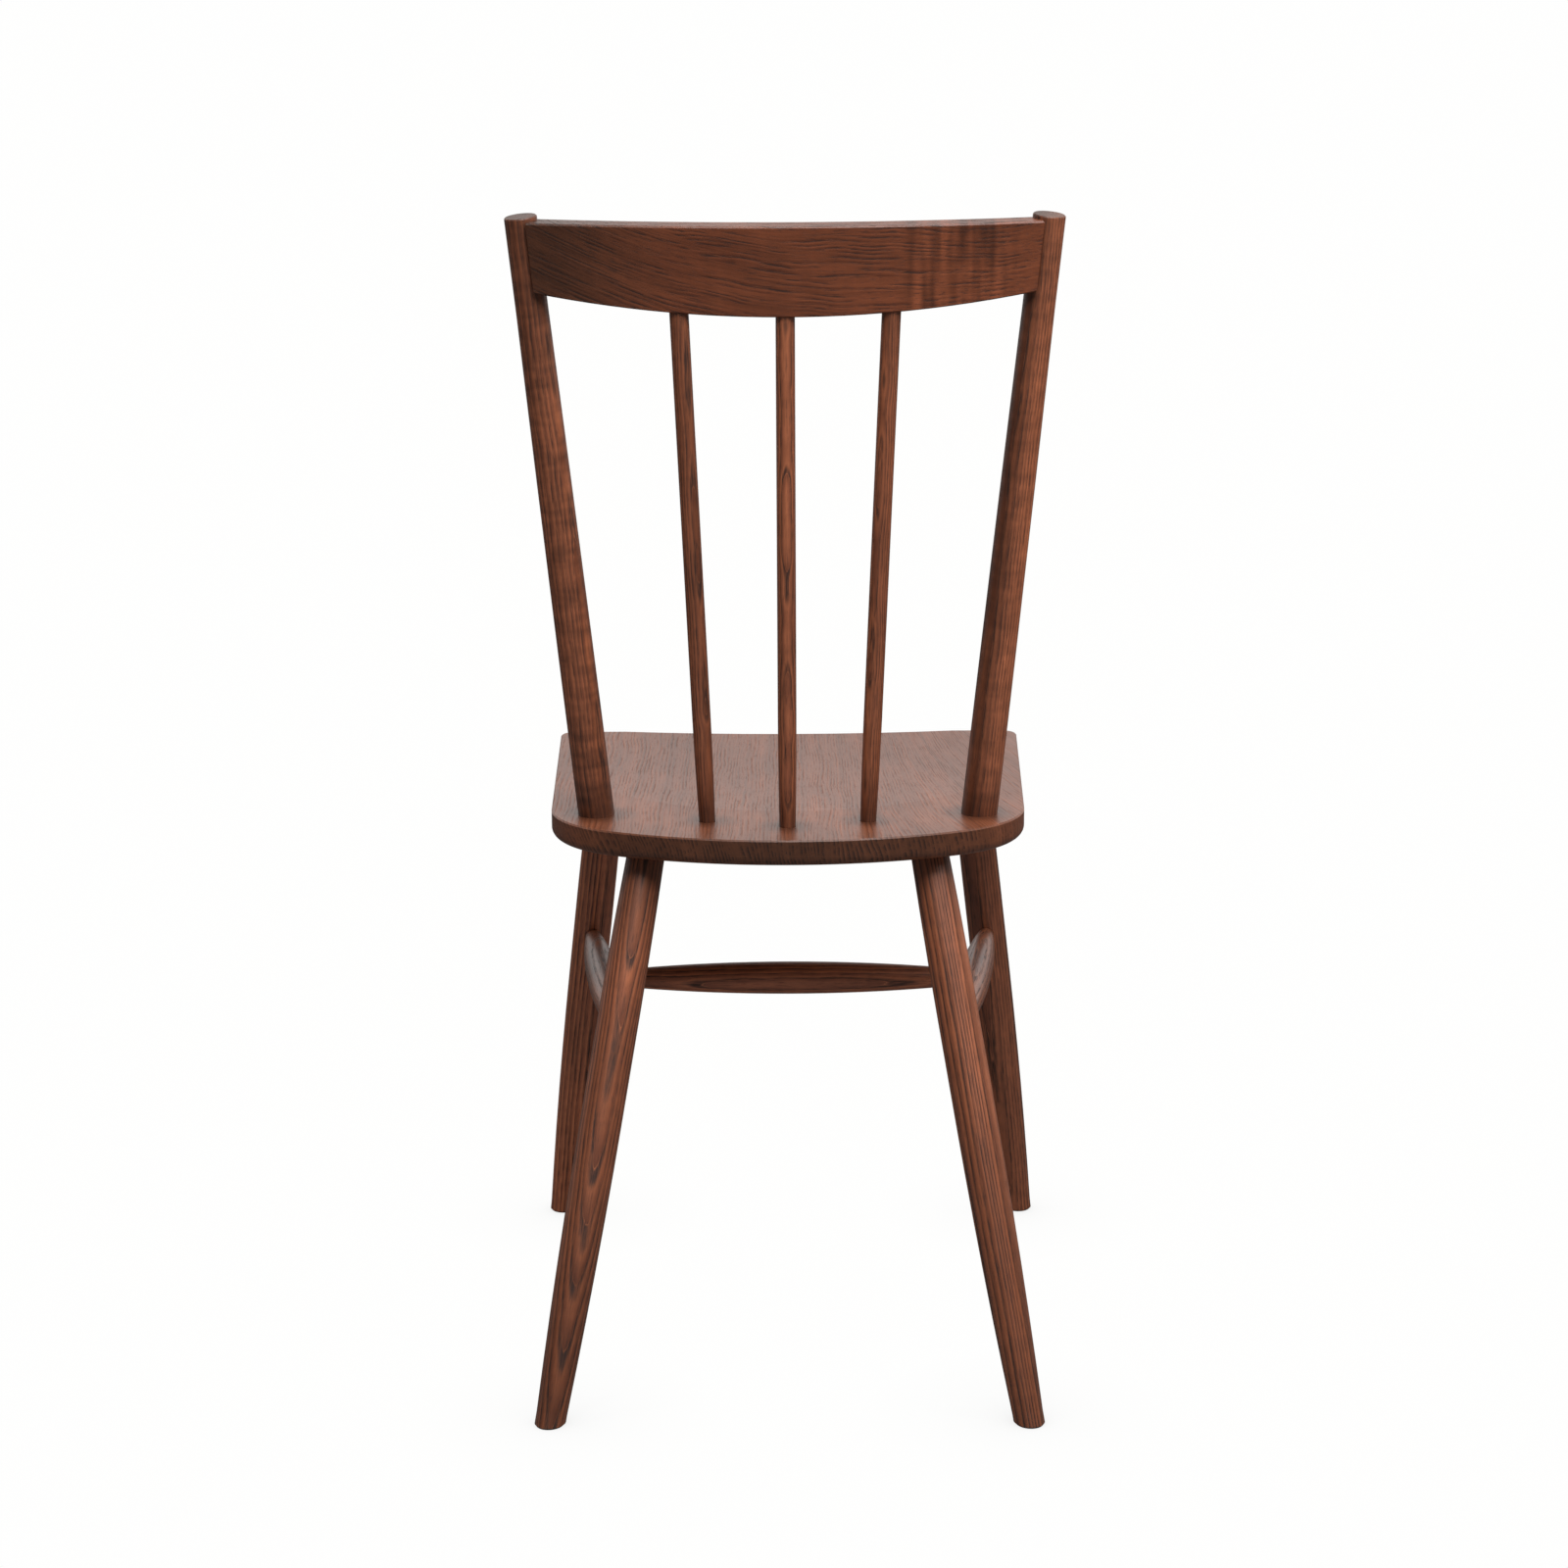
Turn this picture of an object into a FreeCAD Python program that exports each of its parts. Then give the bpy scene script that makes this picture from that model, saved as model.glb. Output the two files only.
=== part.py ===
import FreeCAD, Part
import Sketcher
import math
import os

# Spindle-back dining chair in turned and bent solid wood.
# Frame: X across the chair, +Y towards the sitter's knees, +Z up, in millimetres.
# The origin is on the floor under the middle of the four feet.
# The back, with its posts, spindles and crest rail, is on the -Y side.

Vector = FreeCAD.Vector

doc = FreeCAD.newDocument("windsor_chair")

# Driving dimensions: alias, value, what it is.
DIMENSIONS = [
    ("seat_height", 460.0, "floor to the top of the seat board"),
    ("seat_thickness", 22.0, "seat board"),
    ("seat_front", 255.0, "Y of the straight front edge"),
    ("seat_rear", -155.0, "Y of the middle of the bowed rear edge"),
    ("seat_front_width", 415.5, "across the front ends of the sides"),
    ("seat_side_taper", 2.3, "degrees that each side draws in towards the rear"),
    ("seat_rear_bow", 335.0, "radius of the rear edge in plan"),
    ("seat_rear_corner", 92.0, "plan radius of the rear corners"),
    ("seat_front_corner", 14.0, "plan radius of the front corners"),
    ("seat_top_bevel", 1.2, "eased upper arris"),
    ("seat_bottom_round", 8.0, "rounded lower arris"),
    ("dish_depth", 4.5, "deepest point of the saddled top"),
    ("dish_middle", 135.0, "Y of the deepest point"),
    ("dish_side_margin", 15.75, "side of the dish, in from the seat's half width"),
    ("dish_half_length", 190.0, "from the deepest point to the rear of the dish"),
    ("rear_leg_inset", 92.55, "rear leg's axis under the seat, in from the seat's half width"),
    ("rear_leg_splay", 77.4, "how far out a rear leg's foot stands from its top"),
    ("rear_foot_back", 245.3, "-Y of a rear leg's axis on the floor"),
    ("rear_top_back", 90.3, "-Y of a rear leg's axis under the seat"),
    ("front_leg_inset", 45.55, "front leg's axis under the seat, in from the seat's half width"),
    ("front_leg_splay", 52.4, "how far out a front leg's foot stands from its top"),
    ("front_foot_ahead", 245.3, "Y of a front leg's axis on the floor"),
    ("front_top_ahead", 192.6, "Y of a front leg's axis under the seat"),
    ("leg_foot_radius", 12.4, "leg at the floor"),
    ("leg_swell_radius", 17.0, "leg at its thickest"),
    ("leg_top_radius", 15.6, "leg under the seat"),
    ("leg_foot_straight", 9.0, "straight stretch of a leg above the floor"),
    ("leg_swell_low", 245.0, "foot of the leg's thick stretch, measured along the leg"),
    ("leg_swell_high", 335.0, "top of the leg's thick stretch, which takes the stretcher"),
    ("leg_top_straight", 9.0, "straight stretch of a leg below the seat"),
    ("leg_tenon_radius", 11.0, "round tenon in the seat"),
    ("leg_tenon_depth", 13.0, "tenon above the underside of the seat"),
    ("foot_bevel", 1.6, "eased rim of a foot"),
    ("post_inset", 49.95, "back post's axis on the seat, in from the seat's half width"),
    ("post_base_back", 63.5, "-Y of a back post's axis on the seat"),
    ("post_spread", 46.6, "how far out a back post's top stands from its base"),
    ("post_top_height", 951.6, "floor to the middle of a back post's top"),
    ("back_rake", 7.5, "degrees that the posts and the crest rail lean back"),
    ("post_base_radius", 14.9, "post on the seat"),
    ("post_top_radius", 12.8, "post at its top"),
    ("post_base_straight", 8.0, "straight stretch above the seat"),
    ("post_top_straight", 75.0, "straight stretch that holds the crest rail"),
    ("post_fullness", 0.3, "how far the tapering side swells past a straight line"),
    ("post_tenon_radius", 10.0, "round tenon in the seat"),
    ("post_tenon_depth", 14.0, "tenon below the top of the seat"),
    ("post_top_bevel", 0.8, "eased rim of a post's top"),
    ("spindle_spread_base", 65.8, "X of an outer spindle's axis on the seat"),
    ("spindle_spread_top", 82.3, "X of an outer spindle's axis under the crest rail"),
    ("spindle_outer_back", 88.4, "-Y of an outer spindle's axis on the seat"),
    ("spindle_middle_back", 106.9, "-Y of the middle spindle's axis on the seat"),
    ("spindle_radius", 7.5, "spindle over most of its length"),
    ("spindle_neck_radius", 6.6, "spindle where it enters the seat"),
    ("spindle_neck_length", 90.0, "stretch over which the spindle thins to its neck"),
    ("spindle_seat_depth", 14.0, "spindle below the top of the seat"),
    ("spindle_tenon_radius", 5.5, "round tenon in the crest rail"),
    ("spindle_tenon_depth", 28.0, "tenon above the lower edge of the crest rail"),
    ("crest_thickness", 19.0, "bent crest board"),
    ("crest_bulge", 17.0, "how far its middle stands behind its ends"),
    ("crest_half_span", 195.0, "half of the width over which the bulge is measured"),
    ("crest_ahead", 2.0, "front face ahead of the posts' axes, at its ends"),
    ("crest_drop", 2.2, "top edge below the posts' tops"),
    ("crest_height", 70.5, "height at the middle"),
    ("crest_belly", 1196.0, "radius of the curved lower edge"),
    ("crest_lap", 4.5, "rail's end short of the post's axis"),
    ("crest_top_bevel", 1.3, "eased upper arrises"),
    ("crest_bottom_bevel", 1.0, "eased lower arrises"),
    ("dowel_radius", 3.5, "hidden dowel between crest rail and post"),
    ("dowel_in_post", 10.0, "dowel's length in the post"),
    ("dowel_in_crest", 17.0, "dowel's length in the crest rail"),
    ("dowel_upper_drop", 18.0, "upper dowel below the posts' tops"),
    ("dowel_lower_drop", 42.0, "lower dowel below the posts' tops"),
    ("dowel_back", 6.5, "dowel behind the post's axis, where it leaves the post"),
    ("stretcher_front_height", 281.0, "side stretcher's axis in the front leg"),
    ("stretcher_rear_height", 298.0, "side stretcher's axis in the rear leg"),
    ("stretcher_radius", 14.0, "stretchers at the middle"),
    ("stretcher_seat", 12.0, "half of a side stretcher's straight middle, round the cross stretcher"),
    ("side_tenon_radius", 6.8, "side stretcher's ends"),
    ("side_tenon_past", 4.0, "side stretcher's end past the leg's axis"),
    ("side_tenon_length", 17.0, "straight end, measured from the leg's axis"),
    ("cross_tenon_radius", 7.4, "cross stretcher's ends"),
    ("cross_tenon_past", 2.0, "cross stretcher's end past the side stretcher's axis"),
    ("cross_tenon_length", 14.0, "straight end, measured from the side stretcher's axis"),
    ("fit_gap", 0.2, "glue gap round each tenon"),
    ("end_gap", 0.5, "room past the end of each tenon"),
]

sheet = doc.addObject("Spreadsheet::Sheet", "Dims")
for row, (alias, value, meaning) in enumerate(DIMENSIONS, start=1):
    sheet.set(f"A{row}", meaning)
    sheet.set(f"B{row}", str(value))
    sheet.setAlias(f"B{row}", alias)
doc.recompute()

# Places and angles that follow from the driving dimensions.
layout = doc.addObject("App::VarSet", "Layout")


def dim(alias):
    return f"Dims.{alias}"


def derive(name, expression):
    """Keep a worked-out value under a name and give back the text that reads it."""
    layout.addProperty("App::PropertyFloat", name)
    layout.setExpression(name, expression)
    layout.recompute()
    return f"Layout.{name}"


def placed_at(x, y, z, yaw="0", pitch="0", roll="0"):
    return f"placement(vector({x}; {y}; {z}); rotation({yaw}; {pitch}; {roll}))"


def derive_line(name, start, end):
    """Length and lean of a straight piece from one point to another, on the +X side."""
    over = f"({end[0]} - {start[0]})"
    ahead = f"({end[1]} - {start[1]})"
    rise = f"({end[2]} - {start[2]})"
    run = derive(f"{name}_run", f"sqrt({over} * {over} + {ahead} * {ahead})")
    line = {"start": start}
    line["length"] = derive(f"{name}_length", f"sqrt({run} * {run} + {rise} * {rise})")
    line["lean"] = derive(f"{name}_lean", f"atan2({run}; {rise}) / 1deg")
    line["slope"] = derive(f"{name}_slope", f"{run} / {rise}")
    line["yaw"] = {}
    for side, sign in SIDES:
        turn = f"atan2({ahead}; {sign} * {over}) / 1deg"
        line["yaw"][side] = derive(f"{name}_yaw_{side}", turn)
    return line


def line_placement(line, side, sign):
    """Frame whose Z runs along the piece and whose XZ plane stands upright."""
    x, y, z = line["start"]
    return placed_at(f"{sign} * {x}", y, z, line["yaw"][side], line["lean"])


SIDES = (("right", 1), ("left", -1))

seat_top = dim("seat_height")
seat_under = derive("seat_under", f"{dim('seat_height')} - {dim('seat_thickness')}")
seat_half = derive("seat_half", f"{dim('seat_front_width')} / 2")
post_base_across = derive("post_base_across", f"{seat_half} - {dim('post_inset')}")
post_top_across = derive("post_top_across", f"{post_base_across} + {dim('post_spread')}")


def along_leg(kind, ahead_sign, reach, height):
    """Point on a leg's axis at a height above the floor."""
    part = f"({height} / {seat_under})"
    top_x = f"({seat_half} - {dim(f'{kind}_leg_inset')})"
    foot_x = f"({top_x} + {dim(f'{kind}_leg_splay')})"
    foot_y = dim(f"{kind}_foot_{reach}")
    top_y = dim(f"{kind}_top_{reach}")
    x = f"({foot_x} + ({top_x} - {foot_x}) * {part})"
    y = f"({ahead_sign} * ({foot_y} + ({top_y} - {foot_y}) * {part}))"
    return x, y, height


def named_point(name, point):
    x, y, z = point
    return derive(f"{name}_x", x), derive(f"{name}_y", y), derive(f"{name}_z", z)


LEG_KINDS = (("rear", -1, "back"), ("front", 1, "ahead"))
leg_lines = {}
for kind, ahead_sign, reach in LEG_KINDS:
    foot = named_point(f"{kind}_foot", along_leg(kind, ahead_sign, reach, "0"))
    top = named_point(f"{kind}_top", along_leg(kind, ahead_sign, reach, seat_under))
    leg_lines[kind] = derive_line(f"{kind}_leg", foot, top)

side_front = named_point("side_front", along_leg("front", 1, "ahead", dim("stretcher_front_height")))
side_rear = named_point("side_rear", along_leg("rear", -1, "back", dim("stretcher_rear_height")))
side_line = derive_line("side_stretcher", side_front, side_rear)

cross_x = derive("cross_x", f"({side_front[0]} + {side_rear[0]}) / 2")
cross_y = derive("cross_y", f"({side_front[1]} + {side_rear[1]}) / 2")
cross_z = derive("cross_z", f"({side_front[2]} + {side_rear[2]}) / 2")

# The crest rail's frame: X across, Y square to its face and forwards, Z up the rake.
rake_sin = derive("rake_sin", f"sin({dim('back_rake')} * 1deg)")
rake_cos = derive("rake_cos", f"cos({dim('back_rake')} * 1deg)")
rake_tan = f"({rake_sin} / {rake_cos})"
post_top_y = derive(
    "post_top_y",
    f"-{dim('post_base_back')} - ({dim('post_top_height')} - {seat_top}) * {rake_tan}",
)
crest_placement = placed_at("0", post_top_y, dim("post_top_height"), roll=dim("back_rake"))

post_base = named_point("post_base", (post_base_across, f"-{dim('post_base_back')}", seat_top))
post_top = (post_top_across, post_top_y, dim("post_top_height"))
post_line = derive_line("post", post_base, post_top)
post_splay = derive(
    "post_splay",
    f"{dim('post_spread')}"
    f" / (({dim('post_top_height')} - {seat_top}) / {rake_cos})",
)

# Arcs of the bent board, seen along the rake. Their centre is ahead of the chair.
crest_front_radius = derive(
    "crest_front_radius",
    f"{dim('crest_half_span')} * {dim('crest_half_span')} / (2 * {dim('crest_bulge')})"
    f" + {dim('crest_bulge')} / 2",
)
crest_centre = derive("crest_centre", f"{dim('crest_ahead')} - {dim('crest_bulge')} + {crest_front_radius}")
crest_rear_radius = derive("crest_rear_radius", f"{crest_front_radius} + {dim('crest_thickness')}")
crest_bottom = derive("crest_bottom", f"-{dim('crest_drop')} - {dim('crest_height')}")


def under_crest(name, across):
    """Point at mid thickness on the crest rail's lower edge, in the chair's frame."""
    middle_radius = f"({crest_front_radius} + {dim('crest_thickness')} / 2)"
    local_y = derive(
        f"{name}_crest_y",
        f"{crest_centre} - sqrt({middle_radius} * {middle_radius} - {across} * {across})",
    )
    belly = dim("crest_belly")
    local_z = derive(
        f"{name}_crest_z",
        f"{crest_bottom} + {belly} - sqrt({belly} * {belly} - {across} * {across})",
    )
    y = f"{post_top_y} + {local_y} * {rake_cos} - {local_z} * {rake_sin}"
    z = f"{dim('post_top_height')} + {local_y} * {rake_sin} + {local_z} * {rake_cos}"
    return named_point(f"{name}_top", (across, y, z))


spindle_lines = {}
outer_base = named_point(
    "outer_base", (dim("spindle_spread_base"), f"-{dim('spindle_outer_back')}", seat_top)
)
spindle_lines["outer"] = derive_line(
    "outer_spindle", outer_base, under_crest("outer", dim("spindle_spread_top"))
)
middle_base = named_point("middle_base", ("0", f"-{dim('spindle_middle_back')}", seat_top))
spindle_lines["middle"] = derive_line("middle_spindle", middle_base, under_crest("middle", "0"))
doc.recompute()


def doc_value(expression):
    """Present value of an expression on the dimensions."""
    result = sheet.evalExpression(expression)
    return float(getattr(result, "Value", result))


def origin_plane(body, role):
    for feature in body.Origin.OriginFeatures:
        if feature.Role == role:
            return feature
    raise ValueError(role)


def new_body(name, placement):
    body = doc.addObject("PartDesign::Body", name)
    body.setExpression("Placement", placement)
    return body


def new_sketch(body, name, role, lift=None):
    """Sketch on one of the piece's own planes, or at a distance from it."""
    sketch = body.newObject("Sketcher::SketchObject", name)
    sketch.AttachmentSupport = [(origin_plane(body, role), "")]
    sketch.MapMode = "FlatFace"
    if lift is not None:
        sketch.setExpression("AttachmentOffset.Base.z", lift)
    return sketch


# Numbers that name a point of a sketch's line or arc, its origin and its upright axis.
START, END, CENTRE = range(1, 4)
ORIGIN, UPRIGHT = range(-1, -3, -1)
NEAR_NOTHING = 1e-6


def point(x, y):
    return Vector(doc_value(x), doc_value(y), 0)


def fix(sketch, name, kind, *where, value):
    """Add a dimension to a sketch, name it and tie it to an expression."""
    index = sketch.addConstraint(Sketcher.Constraint(kind, *where, doc_value(value)))
    sketch.renameConstraint(index, name)
    sketch.setExpression(f"Constraints.{name}", value)


def pin(sketch, geometry, end, name, x, y):
    """Tie a point of the sketch to its place."""
    if abs(doc_value(x)) < NEAR_NOTHING:
        sketch.addConstraint(Sketcher.Constraint("PointOnObject", geometry, end, UPRIGHT))
    else:
        fix(sketch, f"{name}_x", "DistanceX", ORIGIN, START, geometry, end, value=x)
    fix(sketch, f"{name}_y", "DistanceY", ORIGIN, START, geometry, end, value=y)


def join(sketch, first, second):
    sketch.addConstraint(Sketcher.Constraint("Coincident", first, END, second, START))


def arc_between(centre, start, end):
    """Arc about a centre, anticlockwise from start to end."""
    radius = start.distanceToPoint(centre)
    first = math.atan2(start.y - centre.y, start.x - centre.x)
    last = math.atan2(end.y - centre.y, end.x - centre.x)
    return Part.ArcOfCircle(Part.Circle(centre, Vector(0, 0, 1), radius), first, last)


def closed_outline(sketch, corners):
    """Straight-sided outline whose corners are all tied to their places."""
    first = sketch.GeometryCount
    count = len(corners)
    places = [point(x, y) for x, y in corners]
    for index in range(count):
        sketch.addGeometry(Part.LineSegment(places[index], places[(index + 1) % count]), False)
    for index in range(count):
        join(sketch, first + index, first + (index + 1) % count)
    for index, (x, y) in enumerate(corners, start=first):
        pin(sketch, index, START, f"corner_{index}", x, y)


def turned_circle(way, start, end, fullness):
    """Centre and radius of an arc: upright at its end, upright at its start, or a full taper."""
    if way == "full taper":
        chord = end - start
        radius = chord.Length * chord.Length / (8 * fullness) + fullness / 2
        outward = Vector(chord.y, -chord.x, 0).normalize()
        return (start + end) / 2 - outward * (radius - fullness), radius
    upright, other = (end, start) if way == "arc ending upright" else (start, end)
    sag = upright.x - other.x
    height = upright.y - other.y
    radius = (sag * sag + height * height) / (2 * sag)
    return Vector(upright.x - radius, upright.y, 0), radius


def add_turned_arc(sketch, way, low, high, stages, fullness):
    """Add an arc from a low place to a high one, in equal stages of height on one circle."""
    start = point(*low)
    end = point(*high)
    centre, radius = turned_circle(way, start, end, doc_value(fullness))
    places = [start]
    for stage in range(1, stages):
        height = start.y + (end.y - start.y) * stage / stages
        places.append(Vector(centre.x + math.sqrt(radius ** 2 - (height - centre.y) ** 2), height, 0))
    places.append(end)
    first = sketch.GeometryCount
    for stage in range(stages):
        sketch.addGeometry(arc_between(centre, places[stage], places[stage + 1]), False)
    last = first + stages - 1
    for index in range(first + 1, last + 1):
        level = f"{low[1]} + ({high[1]} - ({low[1]})) * {index - first} / {stages}"
        fix(sketch, f"stage_{index}", "DistanceY", ORIGIN, START, index, START, value=level)
        sketch.addConstraint(Sketcher.Constraint("Coincident", first, CENTRE, index, CENTRE))
    if way == "full taper":
        across = f"({high[0]} - {low[0]})"
        along = f"({high[1]} - {low[1]})"
        square = f"({across} * {across} + {along} * {along})"
        bow = f"{square} / (8 * {fullness}) + {fullness} / 2"
        fix(sketch, "taper_radius", "Radius", first, value=bow)
    elif way == "arc ending upright":
        sketch.addConstraint(Sketcher.Constraint("Horizontal", last, END, last, CENTRE))
    else:
        sketch.addConstraint(Sketcher.Constraint("Horizontal", first, START, first, CENTRE))


def lathe_profile(body, steps, fullness="0"):
    """Half profile of a turned piece, from the axis at its foot to the axis at its top.

    Each step says how the outline reaches its point: by a line, by an arc that ends
    upright, by an arc that starts upright, or by a full taper, which is a slight arc.
    A fourth value gives the number of stages that a long arc is made in.
    """
    sketch = new_sketch(body, "Profile", "XZ_Plane")
    first_edges = []
    for low, (way, x, y, *stages) in zip(steps, steps[1:]):
        first_edges.append(sketch.GeometryCount)
        if way == "line":
            sketch.addGeometry(Part.LineSegment(point(*low[1:3]), point(x, y)), False)
        else:
            add_turned_arc(sketch, way, low[1:3], (x, y), stages[0] if stages else 1, fullness)
    closing = sketch.GeometryCount
    first_edges.append(closing)
    sketch.addGeometry(Part.LineSegment(point(*steps[-1][1:3]), point(*steps[0][1:3])), False)
    for index in range(closing):
        join(sketch, index, index + 1)
    join(sketch, closing, 0)
    for edge, (way, x, y, *stages) in zip(first_edges, steps):
        pin(sketch, edge, START, f"step_{edge}", x, y)
    return sketch


QUARTERS = 4


def turned(body, steps, fullness="0"):
    """Turn a half profile round the piece's own axis, as four quarters that join."""
    sketch = lathe_profile(body, steps, fullness)
    revolution = body.newObject("PartDesign::Revolution", "Turned")
    revolution.Profile = sketch
    revolution.ReferenceAxis = (sketch, ["V_Axis"])
    revolution.Angle = 360 / QUARTERS
    doc.recompute()
    pattern = body.newObject("PartDesign::PolarPattern", "Quarters")
    pattern.Originals = [revolution]
    pattern.Axis = (sketch, ["V_Axis"])
    pattern.Angle = 360
    pattern.Occurrences = QUARTERS
    body.Tip = pattern
    return pattern


def through_pocket(body, sketch, name):
    """Cut right through the piece, both ways from the sketch."""
    pocket = body.newObject("PartDesign::Pocket", name)
    pocket.Profile = sketch
    pocket.Type = "ThroughAll"
    pocket.Midplane = True
    return pocket


# Stock left past a cut, and how far a level cut reaches from a piece's axis.
SPARE = 12.0
REACH = 30.0


def level_cut(body, slope, foot=None, shoulder=None):
    """Cut a leaning piece off level at its foot, at its shoulder or at both."""
    sketch = new_sketch(body, "LevelLines", "XZ_Plane")
    rise = f"{REACH} * {slope}"
    for level, away in ((foot, -1), (shoulder, 1)):
        if level is None:
            continue
        far = f"{level} + {away} * ({REACH} + {SPARE})"
        closed_outline(sketch, [
            (f"-{REACH}", f"{level} - {rise}"),
            (f"{REACH}", f"{level} + {rise}"),
            (f"{REACH}", far),
            (f"-{REACH}", far),
        ])
    return through_pocket(body, sketch, "Levelled")


def round_tenon(body, radius, start, length):
    """Round tenon on the piece's axis, rooted inside the piece."""
    sketch = new_sketch(body, "TenonCircle", "XY_Plane", lift=start)
    sketch.addGeometry(Part.Circle(Vector(0, 0, 0), Vector(0, 0, 1), doc_value(radius)), False)
    sketch.addConstraint(Sketcher.Constraint("Coincident", 0, CENTRE, ORIGIN, START))
    fix(sketch, "tenon_radius", "Radius", 0, value=radius)
    pad = body.newObject("PartDesign::Pad", "Tenon")
    pad.Profile = sketch
    pad.setExpression("Length", length)
    return pad


def eased(body, kind, base, wanted, name):
    """Ease the edges of the last feature that the test picks."""
    doc.recompute()
    names = []
    for index, edge in enumerate(base.Shape.Edges, start=1):
        if wanted(edge):
            names.append(f"Edge{index}")
    feature = body.newObject(f"PartDesign::{kind}", name)
    feature.Base = (base, names)
    return feature


def rounded(body, base, wanted, radius, name):
    fillet = eased(body, "Fillet", base, wanted, name)
    fillet.setExpression("Radius", radius)
    return fillet


def bevelled(body, base, wanted, size, name):
    chamfer = eased(body, "Chamfer", base, wanted, name)
    chamfer.setExpression("Size", size)
    return chamfer


def cylinder(name, placement, radius, start, length):
    """Cylinder on a piece's own axis: a dowel, or a tool that bores a round hole."""
    tool = doc.addObject("Part::Cylinder", name)
    tool.setExpression("Radius", radius)
    tool.setExpression("Height", length)
    tool.setExpression("Placement", f"{placement} * {placed_at('0', '0', start)}")
    return tool


def bored(name, body, tools):
    """Take the bores for other pieces out of a piece."""
    tool = tools[0]
    if len(tools) > 1:
        tool = doc.addObject("Part::MultiFuse", f"{name}Bores")
        tool.Shapes = tools
    cut = doc.addObject("Part::Cut", f"{name}Bored")
    cut.Base = body
    cut.Tool = tool
    return cut


finished = []


def finish(label, item):
    item.Label = label
    finished.append(item)


gap = dim("fit_gap")
end_gap = dim("end_gap")
TENON_ROOT = 15.0
MOUTH = 6.0
seat_bores = []
crest_bores = []
leg_bores = {}
post_bores = {side: [] for side, sign in SIDES}


# Side stretchers run from front leg to rear leg, and the cross stretcher joins them.

STRETCHER_STAGES = 3


def stretcher(name, placement, length, tenon, past, straight, seat=None):
    """Cigar-shaped stretcher, thickest at its middle, with straight round ends."""
    middle = dim("stretcher_radius")
    body = new_body(name, placement)
    steps = [
        ("line", "0", f"-{past}"),
        ("line", tenon, f"-{past}"),
        ("line", tenon, straight),
    ]
    if seat is None:
        steps.append(("arc ending upright", middle, f"{length} / 2", STRETCHER_STAGES))
    else:
        steps.append(("arc ending upright", middle, f"{length} / 2 - {seat}", STRETCHER_STAGES))
        steps.append(("line", middle, f"{length} / 2 + {seat}"))
    steps += [
        ("arc starting upright", tenon, f"{length} - {straight}", STRETCHER_STAGES),
        ("line", tenon, f"{length} + {past}"),
        ("line", "0", f"{length} + {past}"),
    ]
    turned(body, steps)
    return body


cross_start = derive("cross_start", f"-{cross_x}")
cross_length = derive("cross_length", f"2 * {cross_x}")
cross_placement = placed_at(cross_start, cross_y, cross_z, "0", "90")
cross = stretcher(
    "CrossStretcher", cross_placement, cross_length, dim("cross_tenon_radius"),
    dim("cross_tenon_past"), dim("cross_tenon_length"),
)
finish("cross_stretcher", cross)
cross_bore_length = f"{dim('cross_tenon_past')} + {end_gap} + {dim('stretcher_radius')} + {MOUTH}"
cross_bore_radius = f"{dim('cross_tenon_radius')} + {gap}"
cross_bores = {
    "left": cylinder(
        "CrossBoreLeft", cross_placement, cross_bore_radius,
        f"-{dim('cross_tenon_past')} - {end_gap}", cross_bore_length,
    ),
    "right": cylinder(
        "CrossBoreRight", cross_placement, cross_bore_radius,
        f"{cross_length} - {dim('stretcher_radius')} - {MOUTH}", cross_bore_length,
    ),
}

for side, sign in SIDES:
    name = f"SideStretcher{side.title()}"
    placement = line_placement(side_line, side, sign)
    past = dim("side_tenon_past")
    straight = dim("side_tenon_length")
    body = stretcher(
        name, placement, side_line["length"], dim("side_tenon_radius"), past, straight,
        dim("stretcher_seat"),
    )
    finish(f"side_stretcher_{side}", bored(name, body, [cross_bores[side]]))
    bore_radius = f"{dim('side_tenon_radius')} + {gap}"
    bore_length = f"{past} + {end_gap} + {straight} + {MOUTH}"
    leg_bores["front", side] = cylinder(
        f"{name}FrontBore", placement, bore_radius, f"-{past} - {end_gap}", bore_length
    )
    leg_bores["rear", side] = cylinder(
        f"{name}RearBore", placement, bore_radius,
        f"{side_line['length']} - {straight} - {MOUTH}", bore_length,
    )


def make_leg(kind, side, sign):
    """Turned leg: level foot, swell, level shoulder and a tenon in the seat."""
    name = f"{kind.title()}Leg{side.title()}"
    line = leg_lines[kind]
    length = line["length"]
    placement = line_placement(line, side, sign)
    body = new_body(name, placement)
    turned(body, [
        ("line", "0", f"-{SPARE}"),
        ("line", dim("leg_foot_radius"), f"-{SPARE}"),
        ("line", dim("leg_foot_radius"), dim("leg_foot_straight")),
        ("arc ending upright", dim("leg_swell_radius"), dim("leg_swell_low"), 2),
        ("line", dim("leg_swell_radius"), dim("leg_swell_high")),
        ("arc starting upright", dim("leg_top_radius"), f"{length} - {dim('leg_top_straight')}"),
        ("line", dim("leg_top_radius"), f"{length} + {SPARE}"),
        ("line", "0", f"{length} + {SPARE}"),
    ])
    level_cut(body, line["slope"], foot="0", shoulder=length)
    depth = dim("leg_tenon_depth")
    radius = dim("leg_tenon_radius")
    tenon = round_tenon(body, radius, f"{length} - {TENON_ROOT}", f"{TENON_ROOT} + {depth}")
    bevelled(body, tenon, lambda edge: abs(edge.CenterOfMass.z) < MOUTH, dim("foot_bevel"), "FootRim")
    seat_bores.append(cylinder(
        f"{name}SeatBore", placement, f"{radius} + {gap}", f"{length} - {MOUTH}",
        f"{MOUTH} + {depth} + {end_gap}",
    ))
    finish(f"{kind}_leg_{side}", bored(name, body, [leg_bores[kind, side]]))


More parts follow.
